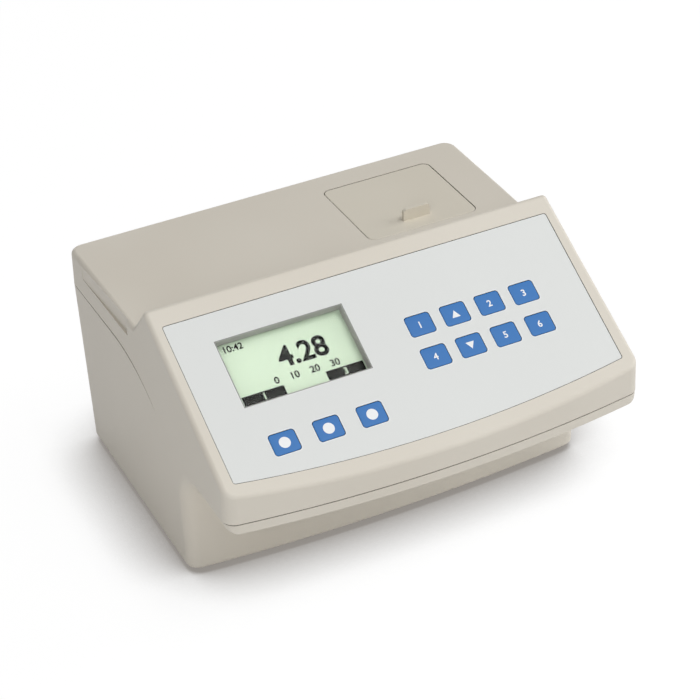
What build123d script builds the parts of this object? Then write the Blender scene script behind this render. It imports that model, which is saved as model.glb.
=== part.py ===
from build123d import *
import os
from math import acos, cos, degrees, radians, sin, sqrt, tan

# Bench turbidity meter. Millimetres, +Z up, front towards -Y, origin on the table under its middle.

# Overall size
overall_width = 230.0
casing_depth = 205.1
foot_height = 3.0
deck_height = 122.2
head_height = 140.8
head_setback = 103.9
panel_slope = 29.7
back_slope = 49.3
front_arc_radius = 707.0
wall = 2.8

# Side walls, as insets from half the overall width
head_inset_middle = 0.8
head_inset_rear = 1.0
head_draft = 0.8
base_inset_foot_rear = 4.8
base_inset_foot_front = 0.6
base_inset_top_rear = 1.5
base_inset_top_front = 0.1

# Parting line between the two casings, seen from the side
seam_rear_height = 102.5
seam_flat_length = 59.2
seam_radius = 88.4
seam_corner_radius = 8.0
seam_front_height = 71.8
seam_gap = 0.6

# Base: front wall, chin under the head, rounded edges
base_depth = 144.6
base_arc_radius = 1085.0
chin_height = 6.6
chin_hollow_radius = 18.0
corner_radius = 7.0
top_edge_round = 2.5
foot_edge_round = 2.5
valley_radius = 4.0
chin_edge_bevel = 1.0

# Shallow wedge-shaped step along both sides of the deck
step_height = 113.0
step_depth = 1.2
step_front_setback = 79.9
step_rear_setback = 20.0

# Sample lid, its hinge and the tray under it
lid_width = 63.3
lid_length = 57.4
lid_centre_x = 58.2
lid_rear_margin = 16.5
lid_thickness = 3.0
lid_gap = 0.4
lid_rear_gap = 0.5
lid_corner_radius = 4.0
lid_edge_round = 0.5
tab_width = 15.4
tab_height = 6.5
tab_thickness = 2.2
tab_round = 2.0
tab_from_front = 10.1
hinge_inset = 7.5
hinge_drop = 2.4
pin_radius = 1.2
pin_clearance = 0.03
pin_end_gap = 0.2
knuckle_radius = 2.3
knuckle_length = 12.0
knuckle_spacing = 44.0
tray_depth = 11.0
tray_wall = 2.5
rest_ledge = 2.0
rest_ledge_width = 24.0
rest_gap = 0.1

# Sample well and optical block
well_setback = 49.05
well_radius = 12.75
well_bottom = 44.0
block_size = 46.0
block_foot_height = 31.0
block_foot_size = 62.0
block_foot_thickness = 5.0
block_top = 106.0
block_screw_inset = 4.0
collar_radius = 22.0
collar_clearance = 0.5
collar_bore_clearance = 0.45
collar_mouth_bevel = 1.0
skirt_radius = 21.5
skirt_wall = 2.5
skirt_depth = 4.5
seal_thickness = 2.5
seal_gap = 0.3
beam_height = 72.0
beam_radius = 3.0
lens_radius = 6.0
lens_seat_depth = 6.2
lens_rim = 1.6
lens_rise = 1.6
optics_fit = 0.1
holder_size = 26.0
holder_thickness = 6.0
lamp_radius = 2.5
lamp_flange_radius = 2.95
lamp_flange_thickness = 1.0
lamp_length = 8.6
detector_radius = 4.1
detector_length = 4.0
sensor_board_size = 24.0
sensor_screw_offset = 8.5

# Front panel: overlay, display window and keys, measured down the slope from the head's top edge
recess_depth = 1.0
overlay_thickness = 0.8
overlay_half_width = 107.3
overlay_top = 10.9
overlay_side_bottom = 99.7
overlay_arc_sag = 7.9
overlay_corner = 1.2
overlay_margin = 0.3
window_width = 68.9
window_height = 37.7
window_u = -51.8
window_v = 45.3
window_recess = 6.4
window_plate_thickness = 1.0
window_plate_overlap = 1.2
key_width = 13.75
key_height = 11.5
key_corner = 1.8
key_pitch_u = 19.75
key_pitch_v = 18.8
first_key_u = 15.95
first_key_v = 49.8
soft_key_u = -75.3
soft_key_v = 87.5
soft_key_pitch = 23.5
key_clearance = 0.2
key_flange = 1.0
key_flange_thickness = 0.8
key_proud = 0.1
key_travel = 0.5
key_stop_gap = 0.05
dome_radius = 2.5
dome_height = 1.05
stake_radius = 1.2
stake_shoulder_radius = 2.2
stake_clearance = 0.15
stake_proud = 0.8
keypad_left = 4.0
keypad_right = 88.0
keypad_top = 38.0
keypad_bottom = 97.0
keypad_strip_left = -91.0
keypad_strip_top = 79.0
board_thickness = 1.6

# Display module behind the window
display_frame_border = 4.5
display_frame_sheet = 0.8
display_frame_fit = 0.15
window_plate_fit = 0.35
display_glass_thickness = 1.8
backlight_thickness = 1.8
display_board_border_u = 12.0
display_board_border_v = 11.0
display_boss_radius = 3.0
display_boss_inset = 4.0
display_air_gap = 0.1
collar_wall = 1.6

# Main board on the base floor, with the rear sockets
standoff_height = 6.0
standoff_radius = 3.5
main_board_width = 110.0
main_board_length = 116.0
main_board_centre_x = -37.0
main_board_setback = 6.5
main_board_screw_inset = 5.0
chip_size = 14.0
chip_thickness = 1.6
chip_pitch = 26.0
capacitor_radius = 4.0
capacitor_height = 10.0
capacitor_pitch = 11.0
capacitor_from_rear = 36.0
connector_length = 5.0
connector_height = 6.0
connector_setback = 14.0
connector_rim = 1.0
ribbon_thickness = 0.4
ribbon_bend = 8.0
display_ribbon_width = 16.0
keypad_ribbon_width = 10.0
keypad_ribbon_x = 11.0
keypad_ribbon_v = 44.0
jack_x = -60.0
jack_width = 9.0
jack_height = 11.0
jack_length = 14.0
jack_bore_radius = 3.0
jack_pin_radius = 1.0
jack_bore_depth = 10.0
usb_x = -36.0
usb_width = 12.0
usb_height = 11.0
usb_length = 16.0
usb_mouth_width = 8.5
usb_mouth_height = 7.8
usb_tongue_width = 5.6
usb_tongue_height = 3.2
usb_mouth_depth = 9.0
socket_setback = 0.4
socket_clearance = 0.3

# Rear power switch
switch_x = -84.0
switch_height = 60.0
switch_body_width = 13.0
switch_body_height = 19.0
switch_body_depth = 17.0
switch_flange = 1.2
switch_flange_thickness = 1.6
switch_cavity_height = 16.8
switch_cavity_depth = 6.2
terminal_width = 4.8
terminal_thickness = 0.8
terminal_length = 6.0
terminal_pitch = 9.0
rocker_width = 9.4
rocker_height = 15.0
rocker_swing = 14.0
rocker_pivot_depth = 2.0
rocker_reach = 3.6
rocker_shoulder = 7.1
rocker_root = 3.0
rocker_clearance = 0.3
trunnion_radius = 1.2
trunnion_length = 1.0

# Fasteners and feet
case_screw_rear_x = 100.0
case_screw_rear = 14.5
case_screw_front_x = 104.5
case_screw_front = 130.5
case_boss_radius = 5.0
case_boss_joint = 60.0
case_screw_seat = 52.0
screw_shank_radius = 1.5
screw_head_radius = 2.8
screw_head_height = 2.2
screw_head_bevel = 0.6
screw_head_clearance = 0.4
cross_length = 3.4
cross_width = 0.8
cross_depth = 1.2
screw_clearance = 0.1
screw_fit = 0.02
screw_grip = 5.5
case_screw_grip = 14.0
pilot_spare = 0.8
foot_radius = 6.0
foot_recess = 1.0
foot_clearance = 0.2
foot_edge_bevel = 0.6
foot_inset_x = 26.0
foot_rear_inset = 14.0
foot_front_inset = 14.0

# Places worked out from the sizes
half_width = overall_width / 2
front_y = -(casing_depth + rocker_reach) / 2
back_y = front_y + casing_depth
head_top_y = back_y - head_setback
base_front_y = back_y - base_depth
seam_bend_y = back_y - seam_flat_length
chin_bottom = seam_front_height - chin_height
floor_top = foot_height + wall
lid_rear_y = back_y - lid_rear_margin
lid_front_y = lid_rear_y - lid_length
lid_centre_y = lid_rear_y - lid_length / 2
lid_underside = deck_height - lid_thickness
hinge_y = lid_rear_y - hinge_inset
hinge_z = deck_height - hinge_drop
tray_floor = deck_height - tray_depth
well_y = back_y - well_setback
seal_underside = lid_underside - skirt_depth - seal_thickness
collar_top = seal_underside - seal_gap
beyond = 30.0
step_front_y = back_y - step_front_setback
step_rear_y = back_y - step_rear_setback
step_front_x = half_width - head_inset_rear - (deck_height - seam_front_height) * tan(radians(head_draft))

panel = Plane(
    origin=(0, head_top_y, head_height),
    x_dir=(1, 0, 0),
    z_dir=(0, -sin(radians(panel_slope)), cos(radians(panel_slope))),
)
case_screw_places = [
    (side * x, back_y - setback)
    for side in (-1, 1)
    for x, setback in ((case_screw_rear_x, case_screw_rear), (case_screw_front_x, case_screw_front))
]
foot_x = half_width - base_inset_foot_rear - foot_inset_x
foot_places = [
    (side * foot_x, y)
    for side in (-1, 1)
    for y in (back_y - foot_rear_inset, base_front_y + foot_front_inset)
]
block_screw_pitch = block_foot_size - 2 * block_screw_inset
board_underside = floor_top + standoff_height
board_top = board_underside + board_thickness
board_rear_y = back_y - main_board_setback
board_centre_y = board_rear_y - main_board_length / 2
board_screw_pitch_x = main_board_width - 2 * main_board_screw_inset
board_screw_pitch_y = main_board_length - 2 * main_board_screw_inset
keys_grid = [
    (first_key_u + column * key_pitch_u, -first_key_v - row * key_pitch_v)
    for row in range(2)
    for column in range(4)
]
keys_soft = [(soft_key_u + i * soft_key_pitch, -soft_key_v) for i in range(3)]
key_places = keys_grid + keys_soft
key_names = [
    "upper_key_1",
    "up_key",
    "upper_key_3",
    "upper_key_4",
    "lower_key_1",
    "down_key",
    "lower_key_3",
    "lower_key_4",
    "left_soft_key",
    "middle_soft_key",
    "right_soft_key",
]
overlay_face = recess_depth - overlay_thickness
key_face = overlay_face - key_proud
key_flange_face = wall + key_stop_gap
key_underside = key_flange_face + key_flange_thickness
dome_face = key_underside + key_travel + key_stop_gap
keypad_depth = dome_face + dome_height
stake_places = [
    (first_key_u + key_pitch_u / 2, -first_key_v - key_pitch_v / 2),
    (first_key_u + 5 * key_pitch_u / 2, -first_key_v - key_pitch_v / 2),
    (first_key_u + 3 * key_pitch_u, -soft_key_v),
    (soft_key_u - soft_key_pitch / 2, -soft_key_v),
    (soft_key_u + 5 * soft_key_pitch / 2, -soft_key_v),
]
window_plate_depth = window_recess - window_plate_thickness - display_air_gap
display_frame_depth = window_recess - display_frame_sheet
backlight_depth = window_recess + display_glass_thickness
display_board_depth = backlight_depth + backlight_thickness
display_screw_u = window_width / 2 + display_board_border_u - display_boss_inset
display_screw_v = window_height / 2 + display_board_border_v - display_boss_inset
display_screw_places = [
    (window_u + i * display_screw_u, j * display_screw_v - window_v) for i in (-1, 1) for j in (-1, 1)
]
tray_width = lid_width + 2 * (lid_gap + tray_wall)
tray_front_y = lid_front_y - lid_gap
tray_rear_y = lid_rear_y + lid_rear_gap
tray_middle_y = (tray_front_y + tray_rear_y) / 2
tray_length = tray_rear_y - tray_front_y
block_ports = [
    Plane(origin=(lid_centre_x - block_size / 2, well_y, beam_height), x_dir=(0, 1, 0), z_dir=(-1, 0, 0)),
    Plane(origin=(lid_centre_x + block_size / 2, well_y, beam_height), x_dir=(0, 1, 0), z_dir=(1, 0, 0)),
    Plane(origin=(lid_centre_x, well_y - block_size / 2, beam_height), x_dir=(1, 0, 0), z_dir=(0, -1, 0)),
]
lamp_port = block_ports[0]
detector_ports = block_ports[1:]
sensor_screw_places = [(i * sensor_screw_offset, i * sensor_screw_offset) for i in (-1, 1)]
connector_y = board_rear_y - main_board_length + connector_setback
socket_face_y = back_y - socket_setback
rocker_pivot_y = back_y - rocker_pivot_depth


def at_depth(depth):
    """Plane parallel to the sloping panel, this far below its outer face"""
    return panel.offset(-depth)


def front_arc_plan(middle_y, radius, rear_y):
    """Wide plan outline, straight behind and on the sides, with a shallow arc in front"""
    reach = half_width + beyond
    side_y = middle_y + radius - sqrt(radius**2 - reach**2)
    with BuildSketch() as plan:
        with BuildLine():
            ThreePointArc((-reach, side_y), (0, middle_y), (reach, side_y))
            Polyline((reach, side_y), (reach, rear_y), (-reach, rear_y), (-reach, side_y))
        make_face()
    return plan.sketch


def side_to_side(rear_half, middle_half, front_half, rear_y):
    """Plan outline between the two side walls, which may bend at the panel's top edge"""
    right = [(rear_half, rear_y), (middle_half, head_top_y), (front_half, front_y)]
    left = [(-x, y) for x, y in reversed(right)]
    with BuildSketch() as plan:
        with BuildLine():
            Polyline(*right, *left, close=True)
        make_face()
    return plan.sketch


def beside_seam(far_z, drop):
    """Everything between the parting line, lowered by drop, and a far level"""
    rear_z = seam_rear_height - drop
    front_z = seam_front_height - drop
    turn = degrees(acos((seam_radius - seam_rear_height + seam_front_height) / seam_radius))
    far_front = front_y - beyond
    far_back = back_y + beyond
    with BuildPart() as region:
        with BuildSketch(Plane.YZ.offset(-half_width - beyond)) as outline:
            with BuildLine():
                Line((far_back, rear_z), (seam_bend_y, rear_z))
                bend = JernArc((seam_bend_y, rear_z), (-1, 0), seam_radius, turn)
                Line(bend @ 1, (far_front, front_z))
                Polyline((far_front, front_z), (far_front, far_z), (far_back, far_z), (far_back, rear_z))
            make_face()
            fillet(outline.vertices().sort_by_distance(bend @ 1)[0], radius=seam_corner_radius)
        extrude(amount=2 * (half_width + beyond))
    return region.part


def upright(edges):
    """Edges that run more up than across"""
    return edges.filter_by(lambda edge: abs((edge % 0.5).Z) > 0.9)


def base_form(inset):
    """Outside of the base up to the rear parting line, drawn in on every side by inset"""
    with BuildPart() as sides:
        with BuildSketch(Plane.XY.offset(foot_height)):
            rear = half_width - base_inset_foot_rear - inset
            front = half_width - base_inset_foot_front - inset
            middle = rear + (front - rear) * head_setback / casing_depth
            add(side_to_side(rear, middle, front, back_y - inset))
        with BuildSketch(Plane.XY.offset(seam_rear_height)):
            rear = half_width - base_inset_top_rear - inset
            front = half_width - base_inset_top_front - inset
            middle = rear + (front - rear) * head_setback / casing_depth
            add(side_to_side(rear, middle, front, back_y - inset))
        loft(ruled=True)
    with BuildPart() as form:
        with BuildSketch(Plane.XY.offset(foot_height + inset)):
            add(front_arc_plan(base_front_y + inset, base_arc_radius - inset, back_y + beyond))
        extrude(amount=seam_rear_height - foot_height - inset)
        with BuildSketch(Plane.XY.offset(chin_bottom + inset)):
            add(front_arc_plan(front_y + inset, front_arc_radius - inset, back_y))
        extrude(amount=seam_rear_height - chin_bottom - inset)
        corner = form.edges().filter_by(GeomType.CIRCLE).filter_by_position(
            Axis.Z, chin_bottom + inset - 0.1, chin_bottom + inset + 0.1
        )
        fillet(corner.sort_by(Axis.Y)[-1], radius=chin_hollow_radius + inset)
        add(sides.part, mode=Mode.INTERSECT)
        fillet(upright(form.edges()), radius=corner_radius - inset)
        if not inset:
            level_faces = form.faces().filter_by(Axis.Z)
            chin_faces = level_faces.filter_by_position(Axis.Z, chin_bottom - 1, chin_bottom + 1)
            chamfer(chin_faces.edges().sort_by(Axis.Y)[0], length=chin_edge_bevel)
    return form.part


def head_form(inset):
    """Outside of the top casing, with its walls carried down past the parting line"""
    valley_y = head_top_y + (head_height - deck_height) / tan(radians(back_slope))
    run = casing_depth - head_setback + beyond
    low = seam_front_height - beyond
    with BuildPart() as sides:
        for level in (low, head_height + beyond):
            draw_in = inset + (level - seam_front_height) * tan(radians(head_draft))
            with BuildSketch(Plane.XY.offset(level)):
                rear = half_width - head_inset_rear - draw_in
                middle = half_width - head_inset_middle - draw_in
                add(side_to_side(rear, middle, half_width - draw_in, back_y - inset))
        loft(ruled=True)
    with BuildPart() as form:
        with BuildSketch(Plane.YZ.offset(-half_width - beyond)) as outline:
            with BuildLine():
                Polyline(
                    (back_y + beyond, low),
                    (back_y + beyond, deck_height),
                    (valley_y, deck_height),
                    (head_top_y, head_height),
                    (head_top_y - run, head_height - run * tan(radians(panel_slope))),
                    (head_top_y - run, low),
                    close=True,
                )
            make_face()
            if inset:
                offset(amount=-inset, kind=Kind.INTERSECTION)
            fillet(outline.vertices().sort_by_distance((valley_y, deck_height))[0], radius=valley_radius)
        extrude(amount=2 * (half_width + beyond))
        with BuildSketch(Plane.XY.offset(low)):
            add(front_arc_plan(front_y + inset, front_arc_radius - inset, back_y - inset))
        extrude(amount=head_height + beyond, mode=Mode.INTERSECT)
        add(sides.part, mode=Mode.INTERSECT)
        fillet(upright(form.edges()), radius=corner_radius - inset)
    return form.part


def overlay_outline(grow):
    """Outline of the front overlay with its curved lower edge, drawn out by grow"""
    half = overlay_half_width + grow
    top = -overlay_top + grow
    bottom = -overlay_side_bottom - grow
    with BuildSketch() as outline:
        with BuildLine():
            Polyline((-half, bottom), (-half, top), (half, top), (half, bottom))
            ThreePointArc((half, bottom), (0, bottom - overlay_arc_sag), (-half, bottom))
        make_face()
        fillet(outline.vertices(), radius=overlay_corner + grow)
    return outline.sketch


def under_panel(distance, depth):
    """Y and Z of a point this far down the panel and below its face"""
    point = at_depth(depth).from_local_coords((0, -distance, 0))
    return (point.Y, point.Z)


def pan_screw(shank):
    """Screw seated at the origin, shank downwards, with a cross recess in its head"""
    with BuildPart() as screw:
        with BuildSketch():
            Circle(screw_head_radius)
        extrude(amount=screw_head_height)
        chamfer(screw.faces().sort_by(Axis.Z)[-1].edges(), length=screw_head_bevel)
        with BuildSketch():
            Circle(screw_shank_radius)
        extrude(amount=-shank)
        with BuildSketch(Plane.XY.offset(screw_head_height)):
            Rectangle(cross_length, cross_width)
            Rectangle(cross_width, cross_length)
        extrude(amount=-cross_depth, mode=Mode.SUBTRACT)
    return screw.part


def beam_lens():
    """Plano-convex lens standing on its flat face"""
    ball_radius = (lens_radius**2 + lens_rise**2) / (2 * lens_rise)
    with BuildPart() as lens:
        with BuildSketch():
            Circle(lens_radius)
        extrude(amount=lens_rim + lens_rise)
        with Locations((0, 0, lens_rim + lens_rise - ball_radius)):
            Sphere(ball_radius, mode=Mode.INTERSECT)
    return lens.part


def flat_ribbon(centre_x, width, end):
    """Flat cable that rises from a connector on the main board and meets a board under the panel squarely"""
    end_y, end_z = end
    start_z = board_top + connector_height
    bend_z = end_z - (connector_y - end_y) / tan(radians(panel_slope))
    with BuildPart() as ribbon:
        with BuildSketch(Plane.YZ.offset(centre_x - width / 2)):
            with BuildLine():
                FilletPolyline((connector_y, start_z), (connector_y, bend_z), end, radius=ribbon_bend)
                offset(amount=ribbon_thickness, side=Side.LEFT)
            make_face()
        extrude(amount=width)
    return ribbon.part


os.makedirs("parts", exist_ok=True)

# Base: one open moulding with a slanted chin, four screw columns, posts and standoffs
with BuildPart() as lower_casing:
    add(base_form(0))
    fillet(lower_casing.faces().sort_by(Axis.Z)[0].edges(), radius=foot_edge_round)
    add(beside_seam(head_height + beyond, seam_gap), mode=Mode.SUBTRACT)
    add(base_form(wall), mode=Mode.SUBTRACT)
    with BuildSketch(Plane.XY.offset(floor_top)):
        with Locations(*case_screw_places):
            Circle(case_boss_radius)
    extrude(amount=case_boss_joint - floor_top)
    with BuildSketch(Plane.XY.offset(floor_top)):
        with Locations((lid_centre_x, well_y)):
            with GridLocations(block_screw_pitch, block_screw_pitch, 2, 2):
                Circle(block_screw_inset)
    extrude(amount=block_foot_height - floor_top)
    with BuildSketch(Plane.XY.offset(floor_top)):
        with Locations((main_board_centre_x, board_centre_y)):
            with GridLocations(board_screw_pitch_x, board_screw_pitch_y, 2, 2):
                Circle(standoff_radius)
    extrude(amount=standoff_height)
    with BuildSketch(Plane.XY.offset(foot_height)):
        with Locations(*case_screw_places):
            Circle(screw_head_radius + screw_head_clearance)
    extrude(amount=case_screw_seat - foot_height, mode=Mode.SUBTRACT)
    with BuildSketch(Plane.XY.offset(case_screw_seat)):
        with Locations(*case_screw_places):
            Circle(screw_shank_radius + screw_clearance)
    extrude(amount=case_boss_joint - case_screw_seat, mode=Mode.SUBTRACT)
    with BuildSketch(Plane.XY.offset(block_foot_height)):
        with Locations((lid_centre_x, well_y)):
            with GridLocations(block_screw_pitch, block_screw_pitch, 2, 2):
                Circle(screw_shank_radius + screw_fit)
    extrude(amount=-screw_grip - pilot_spare, mode=Mode.SUBTRACT)
    with BuildSketch(Plane.XY.offset(board_underside)):
        with Locations((main_board_centre_x, board_centre_y)):
            with GridLocations(board_screw_pitch_x, board_screw_pitch_y, 2, 2):
                Circle(screw_shank_radius + screw_fit)
    extrude(amount=-screw_grip - pilot_spare, mode=Mode.SUBTRACT)
    with BuildSketch(Plane.XY.offset(foot_height)):
        with Locations(*foot_places):
            Circle(foot_radius + foot_clearance)
    extrude(amount=foot_recess, mode=Mode.SUBTRACT)
    with BuildSketch(Plane.XZ.offset(-back_y - beyond)):
        with Locations((jack_x, board_top + jack_height / 2)):
            Rectangle(jack_width + 2 * socket_clearance, jack_height + 2 * socket_clearance)
        with Locations((usb_x, board_top + usb_height / 2)):
            Rectangle(usb_width + 2 * socket_clearance, usb_height + 2 * socket_clearance)
        with Locations((switch_x, switch_height)):
            Rectangle(switch_body_width + 2 * socket_clearance, switch_body_height + 2 * socket_clearance)
    extrude(amount=beyond + 2 * wall, mode=Mode.SUBTRACT)
lower_casing.part.label = "lower_casing"
export_step(lower_casing.part, "parts/lower_casing.step")

# What stands inside the top casing: screw columns, sample tray, display collar, bosses and stakes
with BuildPart() as upper_inside:
    with BuildSketch(Plane.XY.offset(case_boss_joint)):
        with Locations(*case_screw_places):
            Circle(case_boss_radius)
    extrude(amount=head_height - case_boss_joint)
    with BuildSketch(Plane.XY.offset(tray_floor - tray_wall)):
        with Locations((lid_centre_x, tray_middle_y)):
            Rectangle(tray_width, tray_length + 2 * tray_wall)
    extrude(amount=tray_depth)
    with BuildSketch(at_depth(window_plate_depth)):
        with Locations((window_u, -window_v)):
            Rectangle(window_width + 2 * collar_wall, window_height + 2 * collar_wall)
    extrude(amount=window_plate_depth - wall / 2)
    with BuildSketch(at_depth(display_board_depth)):
        with Locations(*display_screw_places):
            Circle(display_boss_radius)
    extrude(amount=display_board_depth - wall / 2)
    with BuildSketch(at_depth(keypad_depth)):
        with Locations(*stake_places):
            Circle(stake_shoulder_radius)
    extrude(amount=keypad_depth - wall / 2)
    with BuildSketch(at_depth(keypad_depth + board_thickness + stake_proud)):
        with Locations(*stake_places):
            Circle(stake_radius)
    extrude(amount=board_thickness + stake_proud)
    add(head_form(wall / 2), mode=Mode.INTERSECT)

# Top casing: sloping head, valley and deck in one moulding
with BuildPart() as upper_casing:
    add(head_form(0))
    panel_faces = upper_casing.faces().filter_by(lambda face: face.normal_at().dot(panel.z_dir) > 0.999)
    panel_edges = panel_faces.edges()
    deck_face = upper_casing.faces().filter_by(Axis.Z).sort_by(Axis.Z)[-1]
    deck_edges = deck_face.edges().filter_by(lambda edge: edge.center().Y > lid_front_y)
    fillet(panel_edges + deck_edges, radius=top_edge_round)
    with BuildSketch(Plane.XY.offset(step_height)):
        with BuildLine():
            Polyline(
                (step_front_x - step_depth, step_front_y),
                (step_front_x, step_rear_y),
                (half_width, step_rear_y),
                (half_width, step_front_y),
                close=True,
            )
        make_face()
        mirror(about=Plane.YZ)
    extrude(amount=head_height, mode=Mode.SUBTRACT)
    add(beside_seam(foot_height - beyond, 0), mode=Mode.SUBTRACT)
    add(head_form(wall), mode=Mode.SUBTRACT)
    add(upper_inside.part)
    with BuildSketch(panel):
        add(overlay_outline(overlay_margin))
    extrude(amount=-recess_depth, mode=Mode.SUBTRACT)
    with BuildSketch(panel):
        with Locations((window_u, -window_v)):
            Rectangle(window_width, window_height)
    extrude(amount=-window_plate_depth, mode=Mode.SUBTRACT)
    with BuildSketch(at_depth(key_flange_face)):
        with Locations(*key_places):
            RectangleRounded(key_width + 2 * key_clearance, key_height + 2 * key_clearance, key_corner)
    extrude(amount=key_flange_face, mode=Mode.SUBTRACT)
    with BuildSketch(Plane.XY.offset(tray_floor)):
        with Locations((lid_centre_x, tray_middle_y)):
            RectangleRounded(lid_width + 2 * lid_gap, tray_length, lid_corner_radius + lid_gap)
    extrude(amount=tray_depth + beyond, mode=Mode.SUBTRACT)
    with BuildSketch(Plane.XY.offset(tray_floor)):
        with Locations((lid_centre_x, well_y)):
            Circle(collar_radius + collar_clearance)
    extrude(amount=-2 * tray_wall, mode=Mode.SUBTRACT)
    with BuildSketch(Plane.XY.offset(lid_underside - rest_gap)):
        with Locations((lid_centre_x, tray_front_y + rest_ledge / 2)):
            Rectangle(rest_ledge_width, rest_ledge)
    extrude(amount=-rest_ledge)
    with BuildSketch(Plane.YZ.offset(lid_centre_x - tray_width / 2)):
        with Locations((hinge_y, hinge_z)):
            Circle(pin_radius + pin_clearance)
    extrude(amount=tray_width, mode=Mode.SUBTRACT)
    with BuildSketch(Plane.XY.offset(case_boss_joint)):
        with Locations(*case_screw_places):
            Circle(screw_shank_radius + screw_fit)
    extrude(amount=case_screw_grip + pilot_spare, mode=Mode.SUBTRACT)
    with BuildSketch(at_depth(display_board_depth)):
        with Locations(*display_screw_places):
            Circle(screw_shank_radius + screw_fit)
    extrude(amount=screw_grip + pilot_spare, mode=Mode.SUBTRACT)
upper_casing.part.label = "upper_casing"
export_step(upper_casing.part, "parts/upper_casing.step")

# Thin plastic overlay bonded in the panel's recess, open over the display and the keys
with BuildPart() as front_overlay:
    with BuildSketch(at_depth(recess_depth)):
        add(overlay_outline(0))
        with Locations((window_u, -window_v)):
            Rectangle(window_width + 2 * key_clearance, window_height + 2 * key_clearance, mode=Mode.SUBTRACT)
        with Locations(*key_places):
            RectangleRounded(
                key_width + 2 * key_clearance, key_height + 2 * key_clearance, key_corner, mode=Mode.SUBTRACT
            )
    extrude(amount=overlay_thickness)
front_overlay.part.label = "front_overlay"
export_step(front_overlay.part, "parts/front_overlay.step")

# Keys: each slides in its own window and is kept in by a flange under the panel wall
for key_name, key_place in zip(key_names, key_places):
    with BuildPart() as key:
        with BuildSketch(at_depth(key_underside)):
            with Locations(key_place):
                RectangleRounded(key_width + 2 * key_flange, key_height + 2 * key_flange, key_corner)
        extrude(amount=key_flange_thickness)
        with BuildSketch(at_depth(key_underside)):
            with Locations(key_place):
                RectangleRounded(key_width, key_height, key_corner)
        extrude(amount=key_underside - key_face)
    key.part.label = key_name
    export_step(key.part, f"parts/{key_name}.step")

# Snap domes that each key presses
with BuildPart() as key_domes:
    with BuildSketch(at_depth(keypad_depth)):
        with Locations(*key_places):
            Circle(dome_radius)
    extrude(amount=dome_height)
key_domes.part.label = "key_domes"
export_step(key_domes.part, "parts/key_domes.step")

# Keypad circuit board, staked to the underside of the panel
with BuildPart() as keypad_board:
    with BuildSketch(at_depth(keypad_depth + board_thickness)):
        with Locations(((keypad_left + keypad_right) / 2, -(keypad_top + keypad_bottom) / 2)):
            Rectangle(keypad_right - keypad_left, keypad_bottom - keypad_top)
        with Locations(((keypad_strip_left + keypad_right) / 2, -(keypad_strip_top + keypad_bottom) / 2)):
            Rectangle(keypad_right - keypad_strip_left, keypad_bottom - keypad_strip_top)
        with Locations(*stake_places):
            Circle(stake_radius + stake_clearance, mode=Mode.SUBTRACT)
    extrude(amount=board_thickness)
keypad_board.part.label = "keypad_board"
export_step(keypad_board.part, "parts/keypad_board.step")

# Clear window plate behind the panel opening
with BuildPart() as display_window:
    with BuildSketch(at_depth(window_plate_depth + window_plate_thickness)):
        with Locations((window_u, -window_v)):
            Rectangle(window_width + 2 * window_plate_overlap, window_height + 2 * window_plate_overlap)
    extrude(amount=window_plate_thickness)
display_window.part.label = "display_window"
export_step(display_window.part, "parts/display_window.step")

# Sheet metal frame that holds the display together on its board
with BuildPart() as display_frame:
    with BuildSketch(at_depth(display_board_depth)):
        with Locations((window_u, -window_v)):
            Rectangle(window_width + 2 * display_frame_border, window_height + 2 * display_frame_border)
    extrude(amount=display_board_depth - display_frame_depth)
    with BuildSketch(at_depth(display_board_depth)):
        with Locations((window_u, -window_v)):
            Rectangle(
                window_width + 2 * (display_frame_border - display_frame_sheet),
                window_height + 2 * (display_frame_border - display_frame_sheet),
            )
    extrude(amount=display_board_depth - window_recess, mode=Mode.SUBTRACT)
    with BuildSketch(at_depth(window_recess)):
        with Locations((window_u, -window_v)):
            Rectangle(
                window_width + 2 * (window_plate_overlap + window_plate_fit),
                window_height + 2 * (window_plate_overlap + window_plate_fit),
            )
    extrude(amount=display_frame_sheet, mode=Mode.SUBTRACT)
display_frame.part.label = "display_frame"
export_step(display_frame.part, "parts/display_frame.step")

# Liquid crystal glass, which sits under the frame's front edge
with BuildPart() as display_glass:
    with BuildSketch(at_depth(backlight_depth)):
        with Locations((window_u, -window_v)):
            Rectangle(
                window_width + 2 * (display_frame_border - display_frame_sheet - display_frame_fit),
                window_height + 2 * (display_frame_border - display_frame_sheet - display_frame_fit),
            )
    extrude(amount=display_glass_thickness)
display_glass.part.label = "display_glass"
export_step(display_glass.part, "parts/display_glass.step")

# Backlight panel between the glass and the display board
with BuildPart() as display_backlight:
    with BuildSketch(at_depth(display_board_depth)):
        with Locations((window_u, -window_v)):
            Rectangle(
                window_width + 2 * (display_frame_border - display_frame_sheet - display_frame_fit),
                window_height + 2 * (display_frame_border - display_frame_sheet - display_frame_fit),
            )
    extrude(amount=backlight_thickness)
display_backlight.part.label = "display_backlight"
export_step(display_backlight.part, "parts/display_backlight.step")

# Display board on four bosses under the panel
with BuildPart() as display_board:
    with BuildSketch(at_depth(display_board_depth + board_thickness)):
        with Locations((window_u, -window_v)):
            Rectangle(window_width + 2 * display_board_border_u, window_height + 2 * display_board_border_v)
        with Locations(*display_screw_places):
            Circle(screw_shank_radius + screw_clearance, mode=Mode.SUBTRACT)
    extrude(amount=board_thickness)
display_board.part.label = "display_board"
export_step(display_board.part, "parts/display_board.step")

# Display screws, driven from behind the board
with BuildPart() as display_screws:
    for u, v in display_screw_places:
        seat = at_depth(display_board_depth + board_thickness).from_local_coords((u, v, 0))
        add(Plane(origin=seat, x_dir=(1, 0, 0), z_dir=-panel.z_dir) * pan_screw(board_thickness + screw_grip))
display_screws.part.label = "display_screws"
export_step(display_screws.part, "parts/display_screws.step")

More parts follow.
